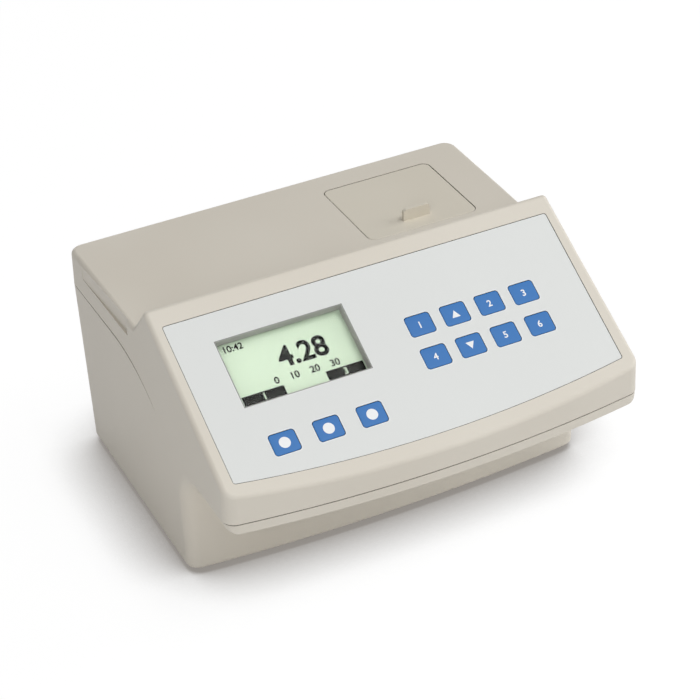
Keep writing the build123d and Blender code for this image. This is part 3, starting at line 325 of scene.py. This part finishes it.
# Lenses and the lamp: polished glass lenses in the block's three seats, and an infrared lamp
# of tinted epoxy resin behind the first of them.
def clear_body(name, tint, rough, ior):
    """Clear solid: full transmission, with a faint haze in the polish."""
    made, tree, shader = blank(name)
    haze = node(tree, "ShaderNodeTexNoise", in_Scale=260.0, in_Detail=2.0)
    haze_place = node(tree, "ShaderNodeTexCoord")
    wire(tree, haze_place.outputs["Object"], haze.inputs["Vector"])
    wire(tree, between(tree, haze.outputs["Fac"], rough, rough + 0.01, 0.5, 0.8), shader.inputs["Roughness"])
    shader.inputs["Base Color"].default_value = tint
    shader.inputs["IOR"].default_value = ior
    shader.inputs["Transmission Weight"].default_value = 1.0
    return made


optical_glass = clear_body("optical_glass", (0.96, 0.98, 0.98, 1.0), 0.0, 1.52)
finish_nodes(optical_glass, "beam_lenses")
lamp_resin = clear_body("lamp_resin", (0.32, 0.28, 0.42, 1.0), 0.05, 1.5)
finish_nodes(lamp_resin, "lamp")

# Display window: a clear acrylic plate that closes the opening over the display from behind.
# It is thin and flat, so it shows only as a soft reflection.
clear_window = clear_body("clear_window", (0.99, 1.0, 0.99, 1.0), 0.0, 1.12)
finish_nodes(clear_window, "display_window")

# Display glass: reflective liquid crystal cell, pale green, over a white diffuser.
# A fine square lattice of cells can just be made out close up.
display_glass, tree, shader = blank("display_glass")
cells_place = node(tree, "ShaderNodeTexCoord")
cells = node(tree, "ShaderNodeTexChecker", in_Scale=2600.0)
cells_cloud = node(tree, "ShaderNodeTexNoise", in_Scale=18.0, in_Detail=1.0)
wire(tree, cells_place.outputs["Object"], cells.inputs["Vector"])
wire(tree, cells_place.outputs["Object"], cells_cloud.inputs["Vector"])
cells_base = two_tone(tree, cells_cloud.outputs["Fac"], linear(193, 208, 186), linear(188, 203, 181))
cells_weight = node(tree, "ShaderNodeMath", operation="MULTIPLY", in_1=0.05)
wire(tree, cells.outputs["Fac"], cells_weight.inputs[0])
cells_colour = two_tone(tree, cells_weight.outputs[0], cells_base, linear(150, 185, 150))
wire(tree, cells_colour, shader.inputs["Base Color"])
shader.inputs["Roughness"].default_value = 0.6
shader.inputs["Specular IOR Level"].default_value = 0.1
finish_nodes(display_glass, "display_glass")
white_plastic = moulded("white_plastic", linear(238, 238, 234), linear(230, 230, 226), 0.5, depth=0.004)
finish_nodes(white_plastic, "display_backlight")

# Figures on the display: dark liquid crystal segments, with a reading, a clock, a row of scale
# numbers and two dark label fields over the outer keys. They lie between the glass and its window.
slope = radians(29.7)
panel_top = np.array([0.0, -3.15, 140.8]) * mm


def on_panel(u, v, depth):
    """Points u to the right of the middle, v down the slope from its top edge and depth below its face."""
    u, v, depth = np.broadcast_arrays(u, v, depth)
    y = -v * cos(slope) + depth * sin(slope)
    z = -v * sin(slope) - depth * cos(slope)
    return np.stack([u, y, z], axis=-1) * mm + panel_top


def piece(name, points, faces, made, body, slot, angle=35.0):
    """Mesh object from points (n, 3) and faces, riding on a body, smooth below the given edge angle."""
    mesh = bpy.data.meshes.new(name)
    mesh.from_pydata(points.reshape(-1, 3).tolist(), [], faces)
    mesh.materials.append(made)
    mesh.shade_smooth()
    mesh.set_sharp_from_angle(angle=radians(angle))
    thing = bpy.data.objects.new(name, mesh)
    bpy.context.scene.collection.objects.link(thing)
    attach(thing, body)
    return thing


def ring_faces(rings, around, first=0):
    """Quads between successive rings of points, each ring closed on itself."""
    ring = np.arange(rings - 1)[:, None] * around + first
    step = np.arange(around)[None, :]
    after = (step + 1) % around
    quads = np.stack([ring + step, ring + after, ring + after + around, ring + step + around], axis=-1)
    return quads.reshape(-1, 4).tolist()


def tube_faces(rings, around):
    """Quads round a closed band: as ring_faces, with the last ring joined back to the first."""
    ring = np.arange(rings)[:, None]
    step = np.arange(around)[None, :]
    after = (step + 1) % around
    here, there = ring * around, (ring + 1) % rings * around
    return np.stack([here + step, here + after, there + after, there + step], axis=-1).reshape(-1, 4).tolist()


def plates(outlines, top, thickness):
    """Points and faces of flat plates on the panel: each outline (n, 2), anticlockwise seen from outside,
    is drawn at depth top and again thickness below it, and the two are joined by walls."""
    points, faces, first = [], [], 0
    for outline in outlines:
        count = len(outline)
        for depth in (top + thickness, top):
            points.append(on_panel(outline[:, 0], outline[:, 1], np.full(count, depth)))
        faces += ring_faces(2, count, first)
        faces.append((np.arange(count)[::-1] + first).tolist())
        faces.append((np.arange(count) + first + count).tolist())
        first += 2 * count
    return np.concatenate(points), faces


def printed_text(text, size, u, v, depth, weight=0.0, slant=0.0):
    """Outlines of a line of figures as a mesh laid on the panel, its left end at u and its foot at v."""
    curve = bpy.data.curves.new("figures", "FONT")
    curve.body = text
    curve.size = size
    curve.offset = weight
    curve.shear = slant
    curve.extrude = 0.01
    held = bpy.data.objects.new("figures", curve)
    bpy.context.scene.collection.objects.link(held)
    bpy.context.view_layer.update()
    mesh = bpy.data.meshes.new_from_object(held.evaluated_get(bpy.context.evaluated_depsgraph_get()))
    flat = np.empty(len(mesh.vertices) * 3)
    mesh.vertices.foreach_get("co", flat)
    flat = flat.reshape(-1, 3)
    faces = [list(face.vertices) for face in mesh.polygons]
    bpy.data.objects.remove(held)
    bpy.data.curves.remove(curve)
    bpy.data.meshes.remove(mesh)
    return on_panel(u + flat[:, 0], v - flat[:, 1], depth - flat[:, 2]), faces


def gathered(groups):
    """One set of points and faces from several."""
    points, faces, first = [], [], 0
    for some, theirs in groups:
        points.append(some.reshape(-1, 3))
        faces += [[corner + first for corner in face] for face in theirs]
        first += len(points[-1])
    return np.concatenate(points), faces


def rectangle(left, top, right, bottom):
    """Outline of a plain rectangle, anticlockwise seen from outside."""
    return np.array([(left, bottom), (right, bottom), (right, top), (left, top)], dtype=float)


figure_depth = 6.36
dark_crystal = moulded(
    "dark_crystal", linear(14, 17, 15), linear(10, 12, 11), 0.7, cells=4200.0, depth=0.001, level=0.05
)
reading = gathered([
    printed_text("4.28", 15.5, -57.6, 47.2, figure_depth, 0.42),
    printed_text("10:42", 5.0, -82.4, 31.2, figure_depth, 0.12),
    printed_text("0    10    20    30", 5.2, -64.4, 54.6, figure_depth, 0.13),
])
piece("display_reading", *reading, dark_crystal, "casing", "black_plastic")
fields = plates(
    [rectangle(-83.6, 56.2, -61.0, 61.4), rectangle(-38.2, 56.2, -17.9, 61.4)], figure_depth, 0.03
)
piece("display_fields", *fields, dark_crystal, "casing", "black_plastic")
field_numbers = gathered([
    printed_text("1", 5.0, -73.4, 60.6, figure_depth - 0.04, 0.16),
    printed_text("3", 5.0, -29.4, 60.6, figure_depth - 0.04, 0.16),
])
piece("display_field_numbers", *field_numbers, display_glass, "casing", "display_glass")

# Overlay: printed polyester film, bonded in the panel's shallow recess. Its face is a cool pale
# grey with a fine matt finish, and a slightly paler line is printed round each key.
overlay_film = moulded(
    "overlay_film", linear(226, 228, 226), linear(223, 225, 223), 0.5, cells=5200.0, depth=0.003
)
finish_nodes(overlay_film, "front_overlay")


def rounded(half_u, half_v, radius, count=40):
    """Rounded rectangle (count, 2) about its middle: four quarter circles of that radius,
    each about its own corner centre, at even angles."""
    angle = (np.arange(count) + 0.5) * 2 * pi / count
    side_u = np.sign(np.cos(angle)) * (half_u - radius)
    side_v = np.sign(np.sin(angle)) * (half_v - radius)
    return np.stack([side_u + radius * np.cos(angle), -side_v - radius * np.sin(angle)], axis=-1)


key_half_u, key_half_v, key_corner = 13.75 / 2, 11.5 / 2, 1.8
key_rows = [
    ["upper_key_1", "up_key", "upper_key_3", "upper_key_4"],
    ["lower_key_1", "down_key", "lower_key_3", "lower_key_4"],
]
soft_keys = ["left_soft_key", "middle_soft_key", "right_soft_key"]
key_pitch, row_pitch, soft_pitch = 19.75, 18.8, 23.5
key_places = {
    name: (15.95 + key_pitch * column, 49.8 + row_pitch * row)
    for row, names in enumerate(key_rows)
    for column, name in enumerate(names)
}
key_places.update({name: (-75.3 + soft_pitch * count, 87.5) for count, name in enumerate(soft_keys)})
border_rings = [(0.85, 0.2), (0.85, 0.15), (0.36, 0.15), (0.36, 0.2)]
borders = []
for middle_u, middle_v in key_places.values():
    rings = [rounded(key_half_u + grow, key_half_v + grow, key_corner + grow) for grow, _ in border_rings]
    depths = [np.full(len(rings[0]), depth) for _, depth in border_rings]
    points = [
        on_panel(middle_u + ring[:, 0], middle_v + ring[:, 1], deep) for ring, deep in zip(rings, depths)
    ]
    borders.append((np.concatenate(points), tube_faces(len(rings), len(rings[0]))))
border_print = moulded(
    "border_print", linear(232, 236, 240), linear(229, 233, 237), 0.45, cells=5200.0, depth=0.002
)
piece("key_borders", *gathered(borders), border_print, "casing", "overlay_film")

# Display surround: a thin printed liner that masks the cut edges of the window opening,
# a plain mid grey that shows along its upper and right sides.
window_u, window_v, window_half_u, window_half_v = -51.8, 45.3, 68.9 / 2, 37.7 / 2
liner_grey = moulded("liner_grey", linear(192, 192, 187), linear(186, 186, 181), 0.6, depth=0.004, level=0.2)
liner_rings = [(0.0, 5.2), (0.0, 0.22), (0.25, 0.22), (0.25, 5.2)]
liner = []
for shrink, deep in liner_rings:
    ring = rounded(window_half_u - shrink, window_half_v - shrink, 0.3)
    liner.append(on_panel(window_u + ring[:, 0], window_v + ring[:, 1], np.full(len(ring), deep)))
liner_faces = tube_faces(len(liner), len(ring))
piece("display_liner", np.concatenate(liner), liner_faces, liner_grey, "casing", "black_plastic")

# Keys: eleven moulded caps, blue through and through, each in its own window. A flange below the
# panel keeps them in, and their edges are softly rounded. White marks are printed on top.
key_blue = moulded(
    "key_blue", linear(60, 124, 192), linear(55, 118, 187), 0.45, cells=3000.0, depth=0.005, level=0.3
)
white_print = moulded(
    "white_print", linear(244, 245, 246), linear(240, 241, 242), 0.45, cells=5200.0, depth=0.002
)
edge = np.linspace(0.0, pi / 2, 7)
edge_round = 0.45
cap_insets = np.concatenate([[0.0], edge_round * (1 - np.cos(edge)), [2.2, 4.6]])
cap_depths = np.concatenate([[2.85], 0.14 + edge_round * (1 - np.sin(edge)), [0.115, 0.1]])


def key_cap(middle_u, middle_v):
    """Key: rounded rectangles stacked from the flange up, drawn in by a quarter circle at the top edge
    and by a shallow crown towards the middle, closed by a flat on top and the flange below."""
    flange_depths = np.array([3.65, 2.85])
    rings = [rounded(key_half_u + 1.0, key_half_v + 1.0, key_corner)] * 2
    rings += [rounded(key_half_u - i, key_half_v - i, max(key_corner - i, 0.4)) for i in cap_insets]
    depths = np.concatenate([flange_depths, cap_depths])
    points = [
        on_panel(middle_u + ring[:, 0], middle_v + ring[:, 1], np.full(len(ring), deep))
        for ring, deep in zip(rings, depths)
    ]
    count = len(rings[0])
    faces = ring_faces(len(rings), count)
    faces.append((np.arange(count)[::-1]).tolist())
    faces.append((np.arange(count) + count * (len(rings) - 1)).tolist())
    return np.concatenate(points), faces


def placed(corners, about_u, about_v):
    """Outline through the given corners, moved to its place on the panel."""
    return np.array(corners, dtype=float) + np.array([about_u, about_v])


circle_angle = np.linspace(0.0, 2 * pi, 48, endpoint=False)
disc = np.stack([2.95 * np.cos(circle_angle), -2.95 * np.sin(circle_angle)], axis=-1)
arrow_up = [(-2.3, 2.0), (2.3, 2.0), (0.0, -2.0)]
arrow_down = [(0.0, 2.0), (2.3, -2.0), (-2.3, -2.0)]
key_figures = {
    "upper_key_1": "1", "upper_key_3": "2", "upper_key_4": "3",
    "lower_key_1": "4", "lower_key_3": "5", "lower_key_4": "6",
}
print_depth = 0.09
for name, (middle_u, middle_v) in key_places.items():
    body = name + "_body"
    cap = piece(name + "_cap", *key_cap(middle_u, middle_v), key_blue, body, "key_blue", 60.0)
    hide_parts(name)
    if name in key_figures:
        mark = printed_text(key_figures[name], 5.0, middle_u - 1.4, middle_v + 1.8, print_depth, 0.1)
    elif name.endswith("soft_key"):
        mark = plates([placed(disc, middle_u, middle_v)], print_depth, 0.02)
    else:
        arrow = arrow_up if name == "up_key" else arrow_down
        mark = plates([placed(arrow, middle_u, middle_v)], print_depth, 0.02)
    piece(name + "_mark", *mark, white_print, body, "overlay_film")

# Sample lid: a moulded plate of the casing's plastic on a steel pin, with an upright finger tab.
# Under it a skirt carries a ring of black foam that shuts out daylight.
lid_plastic = moulded("lid_plastic", linear(221, 215, 201), linear(216, 209, 194), 0.48)
finish_nodes(lid_plastic, "sample_lid")
black_foam = moulded(
    "black_foam", linear(34, 34, 34), linear(24, 24, 24), 0.92, cells=1500.0, depth=0.15, fleck=0.9
)
finish_nodes(black_foam, "light_seal")

# Rocker marks: a bar over a ring, printed white on the two halves of the power rocker's face,
# which fall in by 7 degrees each from its ends to its middle. The rocker rests tilted as far.
lean = radians(7.0)
rocker_middle = np.array([-84.0, 98.75, 60.0])
face_reach = 3.8


def on_rocker(x, z, lift):
    """Points x across and z up the rocker's face, lifted off it, turned about its pivot to its rest."""
    y = face_reach + np.abs(z) * np.tan(lean) + lift
    x, y, z = np.broadcast_arrays(x, y, z)
    turned = np.stack([x, y * cos(lean) + z * sin(lean), z * cos(lean) - y * sin(lean)], axis=-1)
    return (turned + rocker_middle) * mm


bar_x, bar_z = 0.35 * np.array([-1, -1, 1, 1]), 4.2 + 1.7 * np.array([-1, 1, 1, -1])
bar = np.concatenate([on_rocker(bar_x, bar_z, lift) for lift in (0.0, 0.04)])
bar_faces = ring_faces(2, 4) + [[3, 2, 1, 0], [4, 5, 6, 7]]
ring_turn = np.linspace(0.0, 2 * pi, 36, endpoint=False)
ring_bands = [(1.6, 0.0), (1.6, 0.04), (1.05, 0.04), (1.05, 0.0)]
ring_mark = np.concatenate([
    on_rocker(radius * np.sin(ring_turn), radius * np.cos(ring_turn) - 4.2, lift)
    for radius, lift in ring_bands
])
marks = gathered([(bar, bar_faces), (ring_mark, tube_faces(len(ring_bands), len(ring_turn)))])
piece("rocker_marks", *marks, white_print, "rocker", "overlay_film")

# Room: a pale floor and soft lamps. The floor is white to the camera, with a painted shadow round the meter's
# foot, and a tenth of the real lamp-lit floor, with its cast shadow, mixed in.
floor_points = np.array([(-4.0, -4.0, 0.0), (4.0, -4.0, 0.0), (4.0, 4.0, 0.0), (-4.0, 4.0, 0.0)])
floor_paint, tree, shader = blank("floor_paint")
shader.inputs["Base Color"].default_value = (0.8, 0.8, 0.8, 1.0)
shader.inputs["Roughness"].default_value = 0.9
shader.inputs["Specular IOR Level"].default_value = 0.0
# Painted shadow: an occlusion probe of 5 cm turns the floor's glow warm grey near the meter.
shade = node(tree, "ShaderNodeAmbientOcclusion", samples=16, in_Distance=0.05)
painted_shadow_fade = between(tree, shade.outputs["AO"], 0.0, 1.0, 0.44, 0.9)
painted_shadow_glow = node(tree, "ShaderNodeEmission", in_Strength=1.05)
wire(tree, two_tone(tree, painted_shadow_fade, (0.28, 0.26, 0.24, 1.0), (1.0, 1.0, 1.0, 1.0)), painted_shadow_glow.inputs["Color"])
seen = node(tree, "ShaderNodeLightPath")
mirrored = node(tree, "ShaderNodeMath", operation="MAXIMUM")
direct = node(tree, "ShaderNodeMath", operation="MAXIMUM")
share = node(tree, "ShaderNodeMath", operation="MULTIPLY", in_1=0.9)
lit = node(tree, "ShaderNodeMixShader")
wire(tree, seen.outputs["Is Glossy Ray"], mirrored.inputs[0])
wire(tree, seen.outputs["Is Transmission Ray"], mirrored.inputs[1])
wire(tree, seen.outputs["Is Camera Ray"], direct.inputs[0])
wire(tree, mirrored.outputs[0], direct.inputs[1])
wire(tree, direct.outputs[0], share.inputs[0])
wire(tree, share.outputs[0], lit.inputs[0])
wire(tree, shader.outputs[0], lit.inputs[1])
wire(tree, painted_shadow_glow.outputs[0], lit.inputs[2])
wire(tree, lit.outputs[0], tree.nodes["Material Output"].inputs["Surface"])
floor_mesh = bpy.data.meshes.new("floor")
floor_mesh.from_pydata(floor_points.tolist(), [], [(0, 1, 2, 3)])
floor_mesh.materials.append(floor_paint)
floor = bpy.data.objects.new("floor", floor_mesh)
bpy.context.scene.collection.objects.link(floor)


def soft_lamp(name, spot, size, power):
    """Square soft box that faces the meter."""
    made = bpy.data.lights.new(name, "AREA")
    made.shape = "SQUARE"
    made.size = size
    made.energy = power
    thing = bpy.data.objects.new(name, made)
    aim = Vector((0.0, 0.0, 0.06)) - Vector(spot)
    thing.matrix_world = Matrix.Translation(spot) @ aim.to_track_quat("-Z", "Y").to_matrix().to_4x4()
    bpy.context.scene.collection.objects.link(thing)


soft_lamp("top_light", (0.5, -0.6, 1.8), 0.8, 10.6)
soft_lamp("overhead_light", (0.3, -0.1, 1.9), 1.2, 1.1)
soft_lamp("right_light", (1.8, -0.2, 0.9), 1.1, 17.5)
soft_lamp("front_light", (-0.9, -1.4, 1.0), 1.1, 11.8)
soft_lamp("left_light", (-1.8, 0.0, 0.8), 1.1, 0.6)
soft_lamp("rear_light", (0.2, 2.1, 0.3), 1.0, 7.0)
sky = bpy.data.worlds.new("studio_sky")
bpy.context.scene.world = sky
sky.use_nodes = True
sky_tree = sky.node_tree
sky_shader = sky_tree.nodes["Background"]
sky_shader.inputs["Color"].default_value = (1.0, 1.0, 1.0, 1.0)
sky_seen = node(sky_tree, "ShaderNodeLightPath")
sky_level = node(sky_tree, "ShaderNodeMapRange", in_1=0.0, in_2=1.0, in_3=0.2, in_4=1.0)
sky_clean = node(sky_tree, "ShaderNodeMath", operation="MAXIMUM")
wire(sky_tree, sky_seen.outputs["Is Camera Ray"], sky_clean.inputs[0])
wire(sky_tree, sky_seen.outputs["Is Transmission Ray"], sky_clean.inputs[1])
wire(sky_tree, sky_clean.outputs[0], sky_level.inputs[0])
wire(sky_tree, sky_level.outputs[0], sky_shader.inputs["Strength"])
